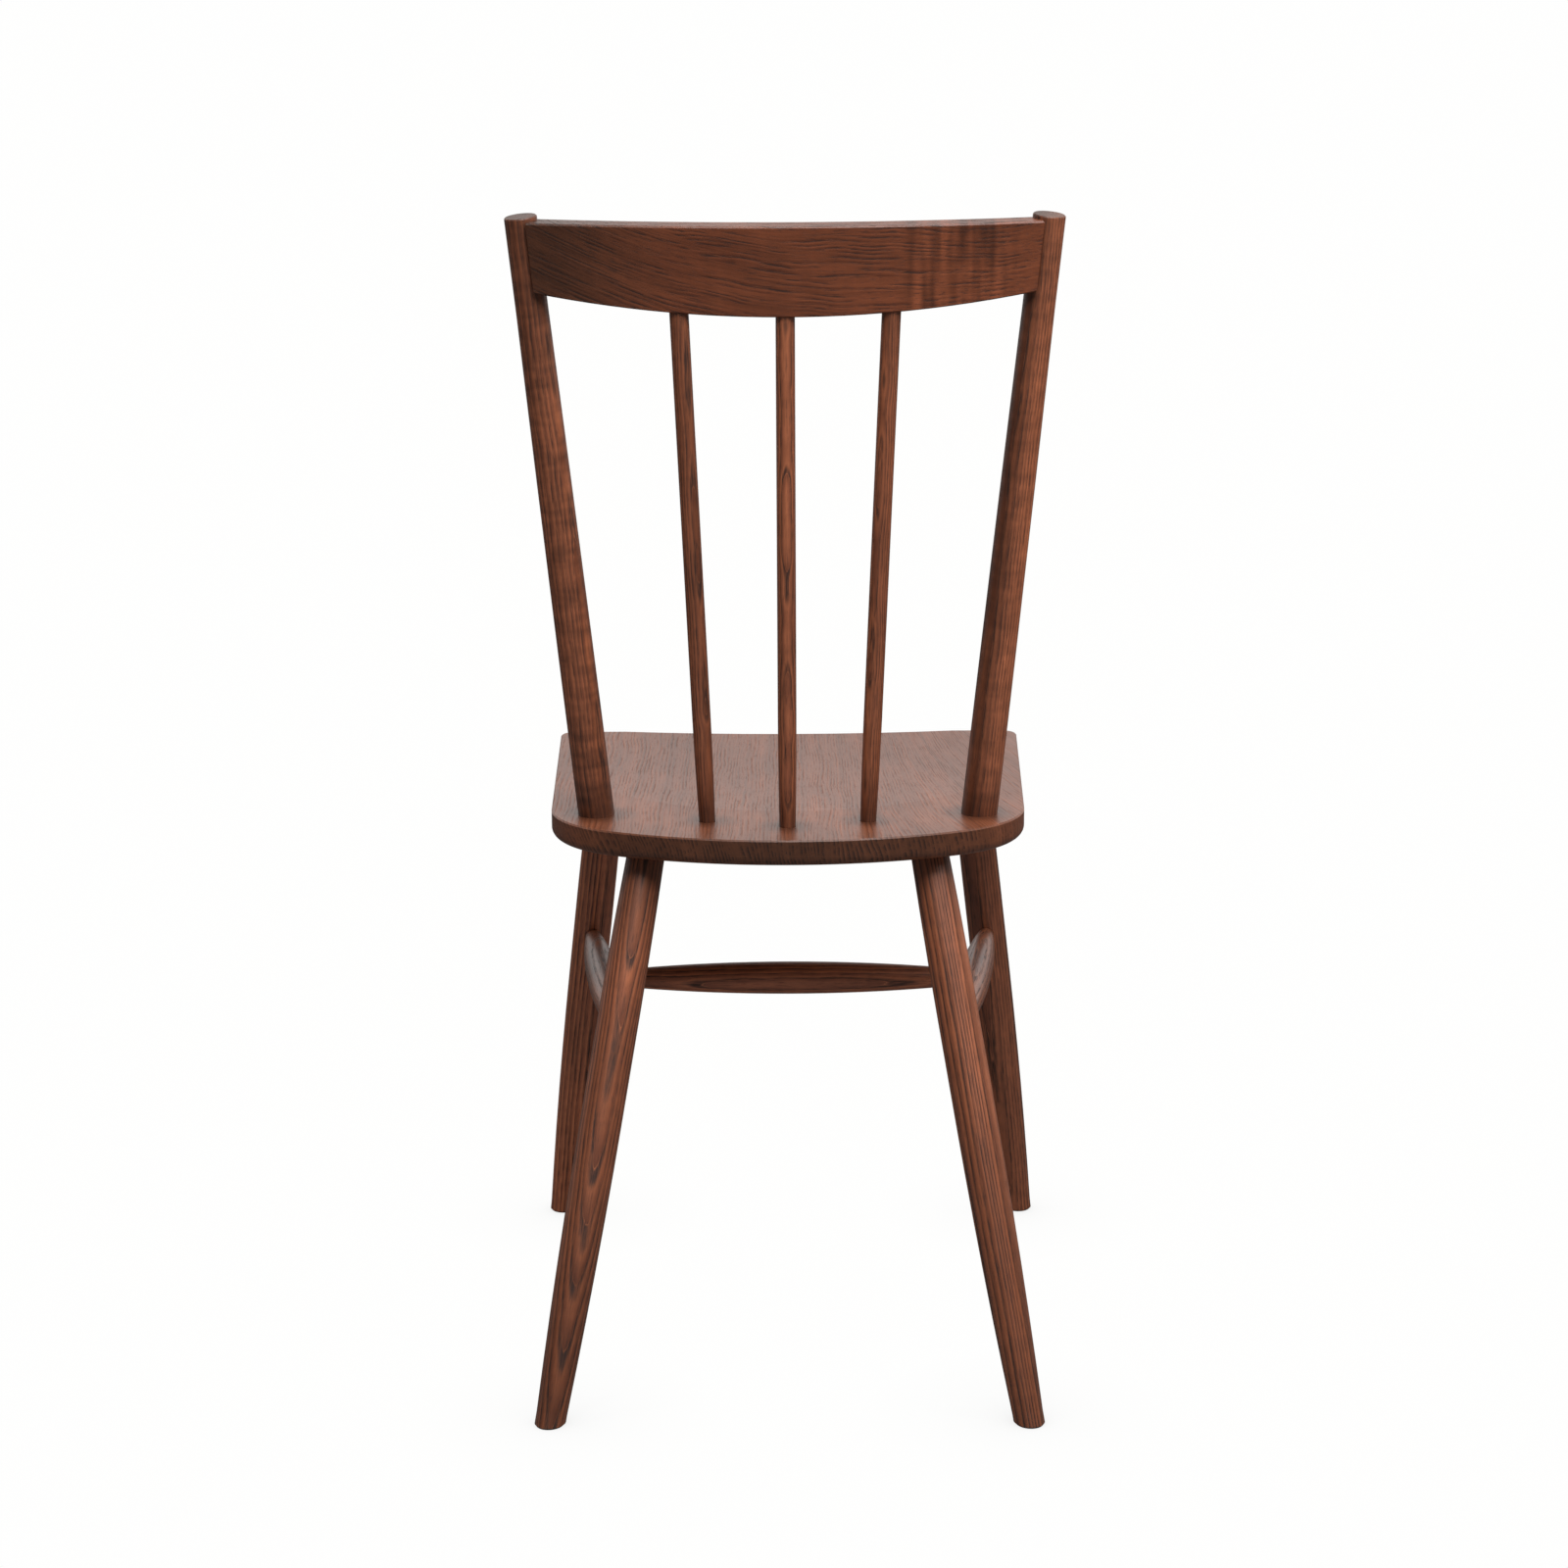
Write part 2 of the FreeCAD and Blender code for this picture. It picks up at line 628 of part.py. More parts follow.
for kind, ahead_sign, reach in LEG_KINDS:
    for side, sign in SIDES:
        make_leg(kind, side, sign)


# Dowels lie along the crest rail's curve, half in its end and half in the post.
dowel_turn = derive("dowel_turn", f"asin({post_top_across} / {crest_rear_radius}) / 1deg")
dowel_length = derive("dowel_length", f"{dim('dowel_in_post')} + {dim('dowel_in_crest')}")


def make_dowel(place, side, sign):
    drop = dim(f"dowel_{place}_drop")
    back = dim("dowel_back")
    reach = f"sqrt({dim('post_top_radius')} * {dim('post_top_radius')} - {back} * {back})"
    leave_x = f"({post_top_across} - {post_splay} * {drop} - {reach})"
    start_x = derive(
        f"dowel_{place}_{side}_x",
        f"{sign} * ({leave_x} + {dim('dowel_in_post')} * cos({dowel_turn} * 1deg))",
    )
    start_y = derive(
        f"dowel_{place}_{side}_y",
        f"-{back} + {dim('dowel_in_post')} * sin({dowel_turn} * 1deg)",
    )
    yaw = f"(90 + {sign} * (90 + {dowel_turn}))"
    placement = f"{crest_placement} * {placed_at(start_x, start_y, f'-{drop}', yaw, '90')}"
    name = f"Dowel{place.title()}{side.title()}"
    radius = dim("dowel_radius")
    dowel = cylinder(name, placement, radius, "0", dowel_length)
    finish(f"crest_dowel_{place}_{side}", dowel)
    tool = cylinder(
        f"{name}Bore", placement, f"{radius} + {gap}", f"-{end_gap}", f"{dowel_length} + 2 * {end_gap}"
    )
    crest_bores.append(tool)
    post_bores[side].append(tool)


for side, sign in SIDES:
    make_dowel("upper", side, sign)
    make_dowel("lower", side, sign)


def make_post(side, sign):
    """Tapered back post: level shoulder on the seat, square top, tenon in the seat."""
    name = f"Post{side.title()}"
    length = post_line["length"]
    placement = line_placement(post_line, side, sign)
    top_radius = dim("post_top_radius")
    bevel = dim("post_top_bevel")
    body = new_body(name, placement)
    turned(body, [
        ("line", "0", f"-{SPARE}"),
        ("line", dim("post_base_radius"), f"-{SPARE}"),
        ("line", dim("post_base_radius"), dim("post_base_straight")),
        ("full taper", top_radius, f"{length} - {dim('post_top_straight')}"),
        ("line", top_radius, f"{length} - {bevel}"),
        ("line", f"{top_radius} - {bevel}", length),
        ("line", "0", length),
    ], dim("post_fullness"))
    level_cut(body, post_line["slope"], foot="0")
    depth = dim("post_tenon_depth")
    radius = dim("post_tenon_radius")
    round_tenon(body, radius, f"-{depth}", f"{depth} + {TENON_ROOT}")
    seat_bores.append(cylinder(
        f"{name}SeatBore", placement, f"{radius} + {gap}", f"-{depth} - {end_gap}",
        f"{depth} + {end_gap} + {MOUTH}",
    ))
    # The crest rail's end is hollowed to sit against the round post.
    crest_bores.append(cylinder(
        f"{name}Cope", placement, f"{top_radius} + {gap}", f"{length} - {dim('post_top_straight')}",
        f"{dim('post_top_straight')} + {SPARE}",
    ))
    finish(f"back_post_{side}", bored(name, body, post_bores[side]))


for side, sign in SIDES:
    make_post(side, sign)


SOCKET_MOUTH = 3.0
SHOULDER_SLOPE = 2.0


def make_spindle(label, kind, side, sign):
    """Slim spindle: thinner neck at the seat and a stepped tenon in the crest rail."""
    name = "".join(word.title() for word in label.split("_"))
    line = spindle_lines[kind]
    length = line["length"]
    placement = line_placement(line, side, sign)
    neck = dim("spindle_neck_radius")
    shank = dim("spindle_radius")
    tenon = dim("spindle_tenon_radius")
    sunk = dim("spindle_seat_depth")
    depth = dim("spindle_tenon_depth")
    body = new_body(name, placement)
    turned(body, [
        ("line", "0", f"-{sunk}"),
        ("line", neck, f"-{sunk}"),
        ("line", neck, "0"),
        ("arc ending upright", shank, dim("spindle_neck_length")),
        ("line", shank, f"{length} + {SOCKET_MOUTH}"),
        ("line", tenon, f"{length} + {SOCKET_MOUTH} + {SHOULDER_SLOPE}"),
        ("line", tenon, f"{length} + {depth}"),
        ("line", "0", f"{length} + {depth}"),
    ])
    finish(label, body)
    seat_bores.append(cylinder(
        f"{name}SeatBore", placement, f"{neck} + {gap}", f"-{sunk} - {end_gap}",
        f"{sunk} + {end_gap} + {MOUTH}",
    ))
    socket = new_body(f"{name}Socket", placement)
    turned(socket, [
        ("line", "0", f"{length} - {MOUTH}"),
        ("line", f"{shank} + {gap}", f"{length} - {MOUTH}"),
        ("line", f"{shank} + {gap}", f"{length} + {SOCKET_MOUTH}"),
        ("line", f"{tenon} + {gap}", f"{length} + {SOCKET_MOUTH} + {SHOULDER_SLOPE}"),
        ("line", f"{tenon} + {gap}", f"{length} + {depth} + {end_gap}"),
        ("line", "0", f"{length} + {depth} + {end_gap}"),
    ])
    crest_bores.append(socket)


make_spindle("spindle_middle", "middle", "right", 1)
for side, sign in SIDES:
    make_spindle(f"spindle_{side}", "outer", side, sign)


def make_crest():
    """Crest rail: a board bent backwards, with a straight top and a bellied lower edge."""
    body = new_body("CrestRail", crest_placement)
    half = f"({post_top_across} + {SPARE})"
    plan = new_sketch(body, "Bend", "XY_Plane", lift=f"-{dim('crest_drop')}")
    wide = doc_value(half)
    middle = doc_value(crest_centre)
    radii = (doc_value(crest_rear_radius), doc_value(crest_front_radius))
    rear_y, front_y = [middle - math.sqrt(radius * radius - wide * wide) for radius in radii]
    corners = [Vector(-wide, rear_y, 0), Vector(wide, rear_y, 0)]
    corners += [Vector(wide, front_y, 0), Vector(-wide, front_y, 0)]
    centre = Vector(0, middle, 0)
    plan.addGeometry(arc_between(centre, corners[0], corners[1]), False)
    plan.addGeometry(Part.LineSegment(corners[1], corners[2]), False)
    plan.addGeometry(arc_between(centre, corners[3], corners[2]), False)
    plan.addGeometry(Part.LineSegment(corners[3], corners[0]), False)
    rear_arc, right_end, front_arc, left_end = range(4)
    for first, first_end, second, second_end in (
        (rear_arc, END, right_end, START),
        (right_end, END, front_arc, END),
        (front_arc, START, left_end, START),
        (left_end, END, rear_arc, START),
        (rear_arc, CENTRE, front_arc, CENTRE),
    ):
        plan.addConstraint(Sketcher.Constraint("Coincident", first, first_end, second, second_end))
    for end in (right_end, left_end):
        plan.addConstraint(Sketcher.Constraint("Vertical", end))
    pin(plan, rear_arc, CENTRE, "centre", "0", crest_centre)
    fix(plan, "rear_radius", "Radius", rear_arc, value=crest_rear_radius)
    fix(plan, "front_radius", "Radius", front_arc, value=crest_front_radius)
    fix(plan, "right_reach", "DistanceX", ORIGIN, START, right_end, START, value=half)
    fix(plan, "left_reach", "DistanceX", left_end, START, ORIGIN, START, value=half)
    board = body.newObject("PartDesign::Pad", "Board")
    board.Profile = plan
    board.Reversed = True
    board.setExpression("Length", dim("crest_height"))

    belly = dim("crest_belly")
    low = f"{crest_bottom} - {SPARE}"
    far = f"({half} + {SPARE})"
    side_height = f"{crest_bottom} + {belly} - sqrt({belly} * {belly} - {far} * {far})"
    elevation = new_sketch(body, "LowerEdge", "XZ_Plane")
    left = point(f"-{far}", side_height)
    right = point(far, side_height)
    centre = point("0", f"{crest_bottom} + {belly}")
    elevation.addGeometry(arc_between(centre, left, right), False)
    elevation.addGeometry(Part.LineSegment(right, point(far, low)), False)
    elevation.addGeometry(Part.LineSegment(point(far, low), point(f"-{far}", low)), False)
    elevation.addGeometry(Part.LineSegment(point(f"-{far}", low), left), False)
    for index in range(4):
        join(elevation, index, (index + 1) % 4)
    for line, way in ((1, "Vertical"), (2, "Horizontal"), (3, "Vertical")):
        elevation.addConstraint(Sketcher.Constraint(way, line))
    pin(elevation, 0, CENTRE, "centre", "0", f"{crest_bottom} + {belly}")
    fix(elevation, "belly_radius", "Radius", 0, value=belly)
    pin(elevation, 2, START, "low_right", far, low)
    fix(elevation, "low_left", "DistanceX", 3, START, ORIGIN, START, value=far)
    through_pocket(body, elevation, "Belly")

    # Each end stops just short of the post's axis and runs parallel to it.
    ends = new_sketch(body, "Ends", "XZ_Plane")
    for side, sign in SIDES:
        end_high = f"{sign} * ({post_top_across} - {dim('crest_lap')} + {post_splay} * {SPARE})"
        end_low = f"{sign} * ({post_top_across} - {dim('crest_lap')} + {post_splay} * ({low}))"
        closed_outline(ends, [
            (end_high, f"{SPARE}"),
            (f"{sign} * {far}", f"{SPARE}"),
            (f"{sign} * {far}", low),
            (end_low, low),
        ])
    cut = through_pocket(body, ends, "EndCuts")
    doc.recompute()
    level = -doc_value(dim("crest_drop"))
    wide = doc_value(dim("crest_half_span")) / 2
    upper = bevelled(
        body, cut, lambda edge: edge.BoundBox.ZMin > level - SPARE, dim("crest_top_bevel"),
        "UpperArrises",
    )
    bevelled(
        body, upper,
        lambda edge: edge.BoundBox.ZMax < level - SPARE and edge.BoundBox.XLength > wide,
        dim("crest_bottom_bevel"), "LowerArrises",
    )
    finish("crest_rail", bored("CrestRail", body, crest_bores))


make_crest()


def seat_outline(body):
    """Plan of the seat: bowed rear, wide rear corners, tapering sides, straight front."""
    sketch = new_sketch(body, "Plan", "XY_Plane")
    bow = doc_value(dim("seat_rear_bow"))
    rear_corner = doc_value(dim("seat_rear_corner"))
    front_corner = doc_value(dim("seat_front_corner"))
    front = doc_value(dim("seat_front"))
    half = doc_value(dim("seat_front_width")) / 2
    bow_y = doc_value(dim("seat_rear")) + bow
    taper = math.radians(doc_value(dim("seat_side_taper")))
    corner_x = half - rear_corner - (front - doc_value(dim("seat_rear"))) * math.tan(taper)
    corner_y = bow_y - math.sqrt((bow - rear_corner) ** 2 - corner_x ** 2)
    touch = Vector(corner_x, corner_y - bow_y, 0).normalize() * bow
    rear_right = Vector(touch.x, touch.y + bow_y, 0)
    side_low = Vector(corner_x + rear_corner, corner_y, 0)
    side_high = Vector(half, front - front_corner, 0)
    front_right = Vector(half - front_corner, front, 0)

    def mirrored(place):
        return Vector(-place.x, place.y, 0)

    rear_centre = Vector(corner_x, corner_y, 0)
    front_centre = Vector(half - front_corner, front - front_corner, 0)
    curves = (
        arc_between(Vector(0, bow_y, 0), mirrored(rear_right), rear_right),
        arc_between(rear_centre, rear_right, side_low),
        Part.LineSegment(side_low, side_high),
        arc_between(front_centre, side_high, front_right),
        Part.LineSegment(front_right, mirrored(front_right)),
        arc_between(mirrored(front_centre), mirrored(front_right), mirrored(side_high)),
        Part.LineSegment(mirrored(side_high), mirrored(side_low)),
        arc_between(mirrored(rear_centre), mirrored(side_low), mirrored(rear_right)),
    )
    for curve in curves:
        sketch.addGeometry(curve, False)
    rear_bow, right_rear, right_side, right_front, front_edge, left_front, left_side, left_rear = range(8)
    for index in range(8):
        follower = (index + 1) % 8
        sketch.addConstraint(Sketcher.Constraint("Tangent", index, END, follower, START))
    sketch.addConstraint(
        Sketcher.Constraint("Symmetric", right_side, START, left_side, END, UPRIGHT)
    )
    sketch.addConstraint(
        Sketcher.Constraint("Symmetric", right_side, END, left_side, START, UPRIGHT)
    )
    sketch.addConstraint(Sketcher.Constraint("Horizontal", front_edge))
    pin(sketch, rear_bow, CENTRE, "bow_centre", "0", f"{dim('seat_rear')} + {dim('seat_rear_bow')}")
    fix(sketch, "bow_radius", "Radius", rear_bow, value=dim("seat_rear_bow"))
    fix(sketch, "rear_corner", "Radius", right_rear, value=dim("seat_rear_corner"))
    fix(sketch, "front_corner", "Radius", right_front, value=dim("seat_front_corner"))
    fix(sketch, "front_y", "DistanceY", ORIGIN, START, front_edge, START, value=dim("seat_front"))
    fix(sketch, "width", "DistanceX", left_side, START, right_side, END, value=dim("seat_front_width"))
    fix(sketch, "taper", "Angle", right_side, value=f"90deg - {dim('seat_side_taper')} * 1deg")
    return sketch


# How far the dish's tool stands above the seat.
OVER_SEAT = 3.0


def seat_dish(body):
    """Shallow saddle: an arc across the seat, swept along a wider arc front to back."""
    depth = dim("dish_depth")
    lift = f"{OVER_SEAT}"
    reach = derive("dish_half_width", f"{seat_half} - {dim('dish_side_margin')}")
    across = f"({reach} * {reach} / (2 * {depth}) + {depth} / 2)"
    along = f"({dim('dish_half_length')} * {dim('dish_half_length')} / (2 * {depth}) + {depth} / 2)"
    sketch = new_sketch(body, "Saddle", "XZ_Plane", lift=f"-{dim('dish_middle')}")
    centre = point("0", f"{across} - {depth}")
    half = math.sqrt(doc_value(across) ** 2 - (centre.y - doc_value(lift)) ** 2)
    left = Vector(-half, doc_value(lift), 0)
    right = Vector(half, doc_value(lift), 0)
    sketch.addGeometry(arc_between(centre, left, right), False)
    sketch.addGeometry(Part.LineSegment(right, left), False)
    join(sketch, 0, 1)
    join(sketch, 1, 0)
    sketch.addConstraint(Sketcher.Constraint("Horizontal", 1))
    pin(sketch, 0, CENTRE, "arc_centre", "0", f"{across} - {depth}")
    fix(sketch, "across_radius", "Radius", 0, value=across)
    fix(sketch, "lift", "DistanceY", ORIGIN, START, 1, START, value=lift)
    axis_height = f"{along} - {depth}"
    axis_ends = (point(f"-{REACH}", axis_height), point(f"{REACH}", axis_height))
    sketch.addGeometry(Part.LineSegment(*axis_ends), True)
    sketch.addConstraint(Sketcher.Constraint("Horizontal", 2))
    pin(sketch, 2, START, "axis", f"-{REACH}", axis_height)
    fix(sketch, "axis_end", "DistanceX", ORIGIN, START, 2, END, value=f"{REACH}")
    groove = body.newObject("PartDesign::Groove", "Dish")
    groove.Profile = sketch
    groove.ReferenceAxis = (sketch, ["Axis0"])
    groove.Midplane = True
    groove.setExpression("Angle", f"4 * atan2({dim('dish_half_length')}; {along})")
    return groove


def make_seat():
    body = new_body("Seat", placed_at("0", "0", seat_top))
    board = body.newObject("PartDesign::Pad", "Board")
    board.Profile = seat_outline(body)
    board.Reversed = True
    board.setExpression("Length", dim("seat_thickness"))
    thickness = doc_value(dim("seat_thickness"))
    lower = rounded(
        body, board, lambda edge: edge.BoundBox.ZMax < -thickness / 2, dim("seat_bottom_round"),
        "LowerArris",
    )
    doc.recompute()
    before = lower.Shape.Volume
    dish = seat_dish(body)
    doc.recompute()
    print("dish takes", round(before - dish.Shape.Volume), "cubic millimetres")
    low = -2 * doc_value(dim("dish_depth"))

    def outer_arris(edge):
        """Edge between the top and the upright side, not the rim of the dish."""
        if edge.BoundBox.ZMin < low or edge.BoundBox.ZLength > -low:
            return False
        sides = [face for face in dish.Shape.Faces if any(part.isSame(edge) for part in face.Edges)]
        return any(face.BoundBox.ZMin < low for face in sides)

    bevelled(body, dish, outer_arris, dim("seat_top_bevel"), "UpperArris")
    finish("seat", bored("Seat", body, seat_bores))


make_seat()
doc.recompute()

for item in doc.Objects:
    if "Invalid" in item.State or "Error" in item.State:
        raise RuntimeError(f"{item.Name} is {item.State}")
for item in finished:
    if item.Shape.isNull() or not item.Shape.isValid() or len(item.Shape.Solids) != 1:
        raise RuntimeError(f"{item.Label} has no sound shape")

os.makedirs("parts", exist_ok=True)
for item in finished:
    item.Shape.exportStep(f"parts/{item.Label}.step")
    print(item.Label, round(item.Shape.Volume))
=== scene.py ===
import math

import bpy
from mathutils import Matrix, Vector


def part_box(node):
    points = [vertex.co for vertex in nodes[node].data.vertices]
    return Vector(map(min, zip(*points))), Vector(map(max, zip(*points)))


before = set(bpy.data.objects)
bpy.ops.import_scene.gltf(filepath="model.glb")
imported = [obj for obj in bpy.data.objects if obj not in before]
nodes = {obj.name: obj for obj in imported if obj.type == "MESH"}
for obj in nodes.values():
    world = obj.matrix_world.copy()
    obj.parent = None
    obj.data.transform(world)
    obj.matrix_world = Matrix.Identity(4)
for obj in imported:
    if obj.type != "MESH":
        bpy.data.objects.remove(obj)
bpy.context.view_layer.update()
scene = bpy.context.scene


# Camera: behind the chair, a little above the crest rail, looking slightly down. PHOTO and FOCAL
# are in pixels of the photograph, SENSOR in millimetres and the three turns in degrees.
PHOTO = 1600
FOCAL = 3415.3
SENSOR = 36.0
PITCH = 13.28
YAW = 0.2735
ROLL = -0.27
CAMERA_PLACE = (0.0098, -2.7445, 1.1178)

camera_data = bpy.data.cameras.new("camera")
camera_data.sensor_width = SENSOR
camera_data.lens = FOCAL * SENSOR / PHOTO
camera_data.clip_end = 60
camera = bpy.data.objects.new("camera", camera_data)
scene.collection.objects.link(camera)
turn = Matrix.Rotation(math.radians(YAW), 4, "Z") @ Matrix.Rotation(math.radians(90 - PITCH), 4, "X")
turn = turn @ Matrix.Rotation(math.radians(ROLL), 4, "Z")
camera.matrix_world = Matrix.Translation(CAMERA_PLACE) @ turn
scene.camera = camera
scene.view_settings.view_transform = "Standard"


class Graph:
    """Short way to write a node tree: sockets go in, sockets come out."""

    def __init__(self, tree):
        self.tree = tree

    def node(self, kind, **settings):
        made = self.tree.nodes.new(kind)
        for key, value in settings.items():
            setattr(made, key, value)
        return made

    def feed(self, socket, value):
        if isinstance(value, bpy.types.NodeSocket):
            self.tree.links.new(value, socket)
        elif value is not None:
            socket.default_value = value

    def math(self, operation, a, b=None, c=None):
        made = self.node("ShaderNodeMath", operation=operation)
        for socket, value in zip(made.inputs, (a, b, c)):
            self.feed(socket, value)
        return made.outputs[0]

    def vector(self, operation, a, b=None, scale=None):
        made = self.node("ShaderNodeVectorMath", operation=operation)
        self.feed(made.inputs[0], a)
        self.feed(made.inputs[1], b)
        if scale is not None:
            self.feed(made.inputs["Scale"], scale)
        return made.outputs["Value" if operation in ("LENGTH", "DOT_PRODUCT") else "Vector"]

    def split(self, vector):
        made = self.node("ShaderNodeSeparateXYZ")
        self.feed(made.inputs[0], vector)
        return made.outputs

    def join(self, x, y, z):
        made = self.node("ShaderNodeCombineXYZ")
        for socket, value in zip(made.inputs, (x, y, z)):
            self.feed(socket, value)
        return made.outputs[0]

    def noise(self, vector, seed, detail, roughness=0.5, output="Fac"):
        made = self.node("ShaderNodeTexNoise", noise_dimensions="4D")
        self.feed(made.inputs["Vector"], vector)
        self.feed(made.inputs["W"], seed)
        made.inputs["Scale"].default_value = 1.0
        made.inputs["Detail"].default_value = detail
        made.inputs["Roughness"].default_value = roughness
        return made.outputs[output]

    def remap(self, value, low, high, to_low=0.0, to_high=1.0, smooth=False):
        made = self.node("ShaderNodeMapRange")
        made.interpolation_type = "SMOOTHSTEP" if smooth else "LINEAR"
        for key, number in zip(("Value", "From Min", "From Max", "To Min", "To Max"),
                               (value, low, high, to_low, to_high)):
            self.feed(made.inputs[key], number)
        return made.outputs["Result"]

    def mix(self, factor, a, b):
        made = self.node("ShaderNodeMix", data_type="RGBA", blend_type="MIX", clamp_factor=True)
        self.feed(made.inputs[0], factor)
        self.feed(made.inputs[6], a)
        self.feed(made.inputs[7], b)
        return made.outputs[2]

    def blend(self, factor, a, b):
        """Mix of two shaders."""
        made = self.node("ShaderNodeMixShader")
        for socket, value in zip(made.inputs, (factor, a, b)):
            self.feed(socket, value)
        return made.outputs[0]


# Stained ash: colours of the pores and ring lines, of the late wood and of the wood between.
DARK = (0.020, 0.0060, 0.0032, 1)
MID = (0.122, 0.0355, 0.0165, 1)
WARM = (0.345, 0.109, 0.0465, 1)
END_GRAIN = (0.50, 0.56, 0.59)
BUMP_DEPTH = 0.0004
MM = 1000.0

# What a member's wood is given, with the usual value. Lengths are in millimetres.
WOOD_INPUTS = {
    "Seed": 0.0,
    "Ring": 4.0,       # distance between growth rings
    "Pith X": 60.0,    # where the member's middle lies from the pith, seen along the grain
    "Pith Y": 0.0,
    "Lean Y": 0.0,     # how much the pith leans along the grain, which draws pointed arches
    "Wander": 5.0,     # how far the rings stray
    "Wave": 0.005,     # how fast they stray along the grain
    "Tone": 1.0,       # lightness
    "Figure": 0.06,    # strength of the cross bands
    "Line": 0.55,      # strength of the ring lines
    "Pore": 0.8,       # strength of the pores
    "Gaps": 0.3,       # how much of the ring lines is broken away
    "Rough": 0.40,     # roughness between the pores
}


def ash_group():
    """Stained ash. The vector is in millimetres, with Z along the grain."""
    tree = bpy.data.node_groups.new("stained_ash", "ShaderNodeTree")
    face = tree.interface
    face.new_socket("Vector", in_out="INPUT", socket_type="NodeSocketVector")
    for name, usual in WOOD_INPUTS.items():
        face.new_socket(name, in_out="INPUT", socket_type="NodeSocketFloat").default_value = usual
    face.new_socket("Color", in_out="OUTPUT", socket_type="NodeSocketColor")
    face.new_socket("Roughness", in_out="OUTPUT", socket_type="NodeSocketFloat")
    face.new_socket("Height", in_out="OUTPUT", socket_type="NodeSocketFloat")
    g = Graph(tree)
    given = g.node("NodeGroupInput").outputs
    vector = given["Vector"]
    seed = given["Seed"]
    x, y, z = g.split(vector)

    def grain_noise(across, along, detail, roughness=0.5):
        """Noise with so many features to the millimetre across and along the grain."""
        return g.noise(g.vector("MULTIPLY", vector, (across, across, along)), seed, detail, roughness)

    def ring_noise(distance):
        """Noise that changes from ring to ring, over about so many millimetres."""
        return g.noise(g.join(g.math("DIVIDE", out, distance), 0.0, 0.0), seed, 1.0)

    # Growth rings: cylinders round a pith that leans and wanders.
    slow = g.vector("MULTIPLY", vector, g.join(0.016, 0.016, given["Wave"]))
    drift = g.vector("SUBTRACT", g.noise(slow, seed, 2.0, output="Color"), (0.5, 0.5, 0.5))
    drift_x, drift_y, _ = g.split(g.vector("SCALE", drift, scale=given["Wander"]))
    from_pith_x = g.math("ADD", g.math("ADD", x, given["Pith X"]), drift_x)
    from_pith_y = g.math("ADD", g.math("ADD", y, given["Pith Y"]), drift_y)
    from_pith_y = g.math("MULTIPLY_ADD", z, given["Lean Y"], from_pith_y)
    out = g.vector("LENGTH", g.join(from_pith_x, from_pith_y, 0.0))
    count = g.math("DIVIDE", out, given["Ring"])
    count = g.math("MULTIPLY_ADD", ring_noise(22.0), 5.0, count)
    count = g.math("MULTIPLY_ADD", grain_noise(1 / 7, 1 / 60, 2.0), 0.35, count)
    part = g.math("FRACT", count)
    early = g.math("MULTIPLY", g.remap(part, 0.0, 0.04), g.remap(part, 0.46, 0.14, smooth=True))
    late = g.remap(part, 0.2, 1.0)

    # In places the ring lines fade out.
    patch = grain_noise(1 / 6, 1 / 45, 2.0)
    gone = g.math("MULTIPLY", g.remap(patch, 0.56, 0.42, smooth=True), given["Gaps"])
    early = g.math("MULTIPLY", early, g.math("SUBTRACT", 1.0, gone))
    late = g.math("MULTIPLY_ADD", gone, g.math("SUBTRACT", 0.5, late), late)

    # Open pores, long and thin, crowded in the early wood.
    dash = grain_noise(1.0, 0.055, 2.0, 0.6)
    fine = grain_noise(2.4, 0.12, 1.0)
    crowded = g.math("MULTIPLY", early, g.remap(dash, 0.40, 0.54, smooth=True))
    sparse = g.math("MULTIPLY", g.remap(dash, 0.58, 0.66, smooth=True), 0.6)
    tiny = g.math("MULTIPLY", g.remap(fine, 0.60, 0.70, smooth=True), 0.5)
    pores = g.math("MAXIMUM", g.math("MAXIMUM", crowded, sparse), tiny)

    # Fibre, blotches of stain, groups of rings and cross bands of figure vary the lightness.
    fibre = grain_noise(0.9, 0.02, 3.0, 0.65)
    blotch = grain_noise(1 / 38, 1 / 150, 3.0, 0.6)
    curl = grain_noise(1 / 26, 1 / 8, 1.0)
    light = g.math("MULTIPLY", g.remap(fibre, 0.25, 0.75, 0.78, 1.22),
                   g.remap(blotch, 0.25, 0.75, 0.72, 1.28))
    light = g.math("MULTIPLY", light, g.remap(ring_noise(7.0), 0.25, 0.75, 0.80, 1.20))
    swing = g.math("MULTIPLY", g.remap(curl, 0.3, 0.7, -1.0, 1.0), given["Figure"])
    light = g.math("MULTIPLY", light, g.math("ADD", swing, 1.0))
    light = g.math("MULTIPLY", light, given["Tone"])

    ground = g.mix(late, WARM, MID)
    ground = g.mix(g.math("MULTIPLY", early, given["Line"]), ground, DARK)
    ground = g.mix(g.math("MULTIPLY", pores, given["Pore"]), ground, DARK)

    result = g.node("NodeGroupOutput").inputs
    g.feed(result["Color"], g.vector("SCALE", ground, scale=light))
    dull = g.math("MAXIMUM", pores, g.math("MULTIPLY", early, 0.4))
    g.feed(result["Roughness"], g.math("MULTIPLY_ADD", dull, 0.22, given["Rough"]))
    height = g.math("SUBTRACT", g.math("MULTIPLY", fibre, 0.12), g.math("MULTIPLY", pores, 0.5))
    g.feed(result["Height"], height)
    return tree


ASH = ash_group()


def grain_frame(start, along, face):
    """Matrix whose Z runs along the grain and whose Y points out of the member's shown face."""
    z = Vector(along).normalized()
    y = Vector(face) - z * Vector(face).dot(z)
    y.normalize()
    x = y.cross(z)
    made = Matrix((x, y, z)).transposed().to_4x4()
    made.translation = Vector(start)
    return made


